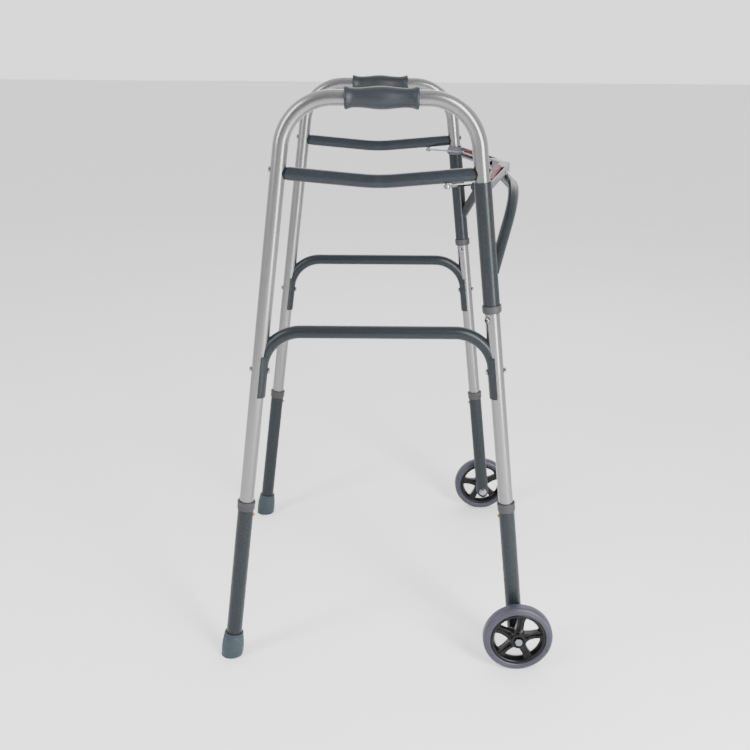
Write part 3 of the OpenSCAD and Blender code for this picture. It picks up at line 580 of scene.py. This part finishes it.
def make_tyre(side, centre):
    """A solid tyre: rounded shoulders, a nearly flat tread with two grooves, and a bead line."""
    place = wheel_frame(centre, SIDES[side])
    half, outer, seat = TYRE_HALF_W, WHEEL_R, TYRE_SEAT_R
    outline = [(seat, -0.0104), (0.0520, -half), (0.0548, -half), (0.0552, -half + 0.0005),
               (0.0560, -half), (0.0600, -0.0109), (0.0624, -0.0086), (0.0633, -0.0062),
               (outer - 0.0002, -0.0048), (0.0628, -0.0044), (outer - 0.0001, -0.0040),
               (outer, 0.0), (outer - 0.0001, 0.0040), (0.0628, 0.0044),
               (outer - 0.0002, 0.0048), (0.0633, 0.0062), (0.0624, 0.0086),
               (0.0600, 0.0109), (0.0560, half), (0.0552, half - 0.0005), (0.0548, half),
               (0.0520, half), (seat, 0.0104)]
    bm = bmesh.new()
    lathe(bm, rounded(outline, 0.0009, 3, closed=True), place, 160, closed=True)
    put(finish_mesh(f"{side}_tyre_moulding", bm, "tyre_rubber", 50),
        f"{side}_wheel", f"{side}_wheel_tyre")


def spoke(bm, place, angle, sections):
    """One spoke, lofted outwards through sections of (radius, half width, low and high Z)."""
    turn = Matrix.Rotation(angle, 4, "Z")
    rings = []
    for r, w, z0, z1 in sections:
        q = min(0.0012, w * 0.5)
        loop = [(-w + q, z0), (w - q, z0), (w, z0 + q), (w, z1 - q), (w - q, z1), (-w + q, z1),
                (-w, z1 - q), (-w, z0 + q)]
        rings.append([bm.verts.new(place @ turn @ Vector((r, a, z))) for a, z in loop])
    for a, b in zip(rings, rings[1:]):
        for k in range(8):
            bm.faces.new((a[k], a[(k + 1) % 8], b[(k + 1) % 8], b[k]))
    bm.faces.new(rings[0])
    bm.faces.new(rings[-1])


def make_rim(side, centre):
    """A moulded rim: a barrel narrowed at its middle, a recessed hub, ridges on the spokes."""
    place = wheel_frame(centre, SIDES[side])
    bm = bmesh.new()
    barrel = [(0.0500, -0.0104), (0.0486, -0.0112), (0.0460, -0.0108), (0.0445, -0.0096),
              (0.0428, -0.0060), (0.0415, -0.0030), (0.0407, 0.0), (0.0415, 0.0030),
              (0.0428, 0.0060), (0.0445, 0.0096), (0.0460, 0.0108), (0.0486, 0.0112),
              (0.0500, 0.0104)]
    lathe(bm, rounded(barrel, 0.0008, 3, closed=True), place, 160, closed=True)
    hub = [(BORE_R, HUB_IN_Z), (0.0100, HUB_IN_Z), (0.0105, HUB_IN_Z + 0.0008),
           (0.0108, -0.0096), (0.0144, -0.0090), (0.0148, -0.0080), (0.0148, 0.0150),
           (0.0142, 0.0165), (0.0090, 0.0165), (0.0082, 0.0157), (0.0082, 0.0125),
           (BORE_R, 0.0125)]
    lathe(bm, rounded(hub, 0.0005, 3, closed=True), place, 64, closed=True)
    for i in range(SPOKES):
        a = math.radians(FIRST_SPOKE + i * 360 / SPOKES)
        spoke(bm, place, a, [(0.0130, 0.0084, -0.0062, 0.0125), (0.0170, 0.0076, -0.0062, 0.0090),
                             (0.0220, 0.0068, -0.0062, 0.0072), (0.0300, 0.0064, -0.0062, 0.0062),
                             (0.0370, 0.0068, -0.0062, 0.0062), (0.0410, 0.0082, -0.0066, 0.0066),
                             (0.0436, 0.0102, -0.0072, 0.0074)])
        spoke(bm, place, a, [(0.0140, 0.0016, 0.0060, 0.0155), (0.0220, 0.0014, 0.0050, 0.0108),
                             (0.0300, 0.0013, 0.0045, 0.0090), (0.0400, 0.0014, 0.0050, 0.0092),
                             (0.0440, 0.0016, 0.0060, 0.0098)])
    put(finish_mesh(f"{side}_rim_moulding", bm, "black_plastic", 40),
        f"{side}_wheel", f"{side}_wheel_rim")


# ---------------------------------------------------------------- latch

def make_paddle(side):
    """A domed release paddle with a soft crown and a shallow thumb hollow."""
    me = NODES[f"{side}_release_paddle"].data
    pts = [v.co for v in me.vertices]
    s = SIDES[side]
    out = Vector((-math.sin(BOW_SWEEP), s * math.cos(BOW_SWEEP), 0))
    back = Vector((-math.cos(BOW_SWEEP), -s * math.sin(BOW_SWEEP), 0))
    us = [p.dot(out) for p in pts]
    vs = [p.dot(back) for p in pts]
    u0, u1, v0 = min(us) + PADDLE_INSET, max(us), min(vs)
    z0 = min(p.z for p in pts)
    length = u1 - u0
    n, m = 48, 16
    bm = bmesh.new()
    top, under = [], []
    for i in range(n + 1):
        f = i / n
        ends = min(1.0, math.sqrt(max(0.0, 1 - (max(0.0, 0.05 - f) / 0.05) ** 2)),
                   math.sqrt(max(0.0, 1 - (max(0.0, f - 0.955) / 0.045) ** 2)))
        ends = max(ends, 0.05)
        taper = 0.0140 - 0.0035 * f
        width = taper * (0.35 + 0.65 * ends)
        middle = v0 + 0.0035 * (1 - f) + taper / 2
        crown = 0.0030 + 0.0083 * math.cos(math.pi / 2 * f)
        hollow = 0.0012 * math.exp(-((f - 0.30) / 0.16) ** 2)
        row_t, row_u = [], []
        for k in range(m + 1):
            g = -1 + 2 * k / m
            edge = math.sqrt(max(0.0, 1 - abs(g) ** 6))
            lift = (crown - hollow * (1 - g * g)) * (0.25 + 0.75 * ends) * (0.45 + 0.55 * edge)
            p = out * (u0 + length * f) + back * (middle + g * width / 2)
            row_t.append(bm.verts.new((p.x, p.y, z0 + lift)))
            row_u.append(bm.verts.new((p.x, p.y, z0)))
        top.append(row_t)
        under.append(row_u)
    for i in range(n):
        for k in range(m):
            bm.faces.new((top[i][k], top[i][k + 1], top[i + 1][k + 1], top[i + 1][k]))
            bm.faces.new((under[i][k], under[i + 1][k], under[i + 1][k + 1], under[i][k + 1]))
        for k in (0, m):
            bm.faces.new((top[i][k], top[i + 1][k], under[i + 1][k], under[i][k]))
    for i in (0, n):
        for k in range(m):
            bm.faces.new((top[i][k], top[i][k + 1], under[i][k + 1], under[i][k]))
    put(finish_mesh(f"{side}_paddle_moulding", bm, "red_plastic", 50),
        f"{side}_release", f"{side}_release_paddle")


for side in SIDES:
    make_side_tube(side)
    make_grip(side)
    make_tip(side)
    make_collar(side, "rear")
    make_collar(side, "front")
    make_sleeve_collar(side)
    wheel_centre = Vector(JOINTS[f"{side}_wheel_spin"]["pos_m"])
    make_tyre(side, wheel_centre)
    make_rim(side, wheel_centre)
    make_paddle(side)


# ---------------------------------------------------------------- stage

def add_floor():
    """The pale floor of the studio."""
    bpy.ops.mesh.primitive_plane_add(size=60)
    floor = bpy.context.active_object
    floor.name = "floor"
    m, nt, b = material("floor_look")
    n = noise(nt, coords(nt), 3, 3)
    nt.links.new(ramp(nt, n, (0.3, 0.93), (0.7, 0.95)), b.inputs["Base Color"])
    b.inputs["Roughness"].default_value = 0.75
    b.inputs["Specular IOR Level"].default_value = 0.2
    floor.data.materials.append(m)


def add_area(name, place, size, power, target=(0, 0, 0.5)):
    """An area light that points at target and that the camera does not see."""
    light = bpy.data.lights.new(name, "AREA")
    light.shape = "RECTANGLE"
    light.size, light.size_y = size
    light.energy = power
    ob = bpy.data.objects.new(name, light)
    ob.location = place
    ob.rotation_euler = (Vector(target) - Vector(place)).to_track_quat("-Z", "Y").to_euler()
    ob.visible_camera = False
    bpy.context.scene.collection.objects.link(ob)


def add_world(strength):
    """A soft tent of light, dimmer on the camera's side: bright tubes keep a darker middle."""
    world = bpy.data.worlds.new("studio")
    world.use_nodes = True
    nt = world.node_tree
    sep = nt.nodes.new("ShaderNodeSeparateXYZ")
    nt.links.new(coords(nt, "Generated"), sep.inputs[0])
    depth = math_node(nt, "MULTIPLY_ADD", sep.outputs["Y"], 0.5)
    depth.node.inputs[2].default_value = 0.5
    grey = ramp(nt, depth, (0.02, 0.22), (0.30, 0.50), (0.60, 1.0))
    back = nt.nodes["Background"]
    nt.links.new(grey, back.inputs["Color"])
    back.inputs["Strength"].default_value = strength
    bpy.context.scene.world = world


def add_camera(place, yaw, pitch, roll, lens):
    """The camera; at yaw, pitch and roll 0 it looks along +Y. The angles are in radians."""
    camera = bpy.data.cameras.new("camera")
    camera.lens = lens
    camera.sensor_width = 36.0
    ob = bpy.data.objects.new("camera", camera)
    ahead = Vector((-math.sin(yaw) * math.cos(pitch), math.cos(yaw) * math.cos(pitch),
                    math.sin(pitch)))
    right = Vector((math.cos(yaw), math.sin(yaw), 0))
    up = right.cross(ahead)
    x = right * math.cos(roll) + up * math.sin(roll)
    y = -right * math.sin(roll) + up * math.cos(roll)
    ob.matrix_world = Matrix.Translation(place) @ Matrix((x, y, -ahead)).transposed().to_4x4()
    bpy.context.scene.collection.objects.link(ob)
    bpy.context.scene.camera = ob


add_floor()
add_world(1.8)
add_area("key", (-1.9, -1.5, 1.9), size=(0.7, 2.0), power=60)
add_area("fill", (1.3, -2.3, 1.7), size=(0.6, 2.2), power=110)
add_area("rim", (0.6, 2.4, 2.4), size=(2.4, 1.2), power=25)
add_area("strip", (1.10, -1.45, 0.60), size=(0.35, 1.0), power=24)
add_camera((-0.0234, -1.8994, 1.0811), yaw=-0.0012, pitch=-0.3203, roll=0.0072, lens=47.75)
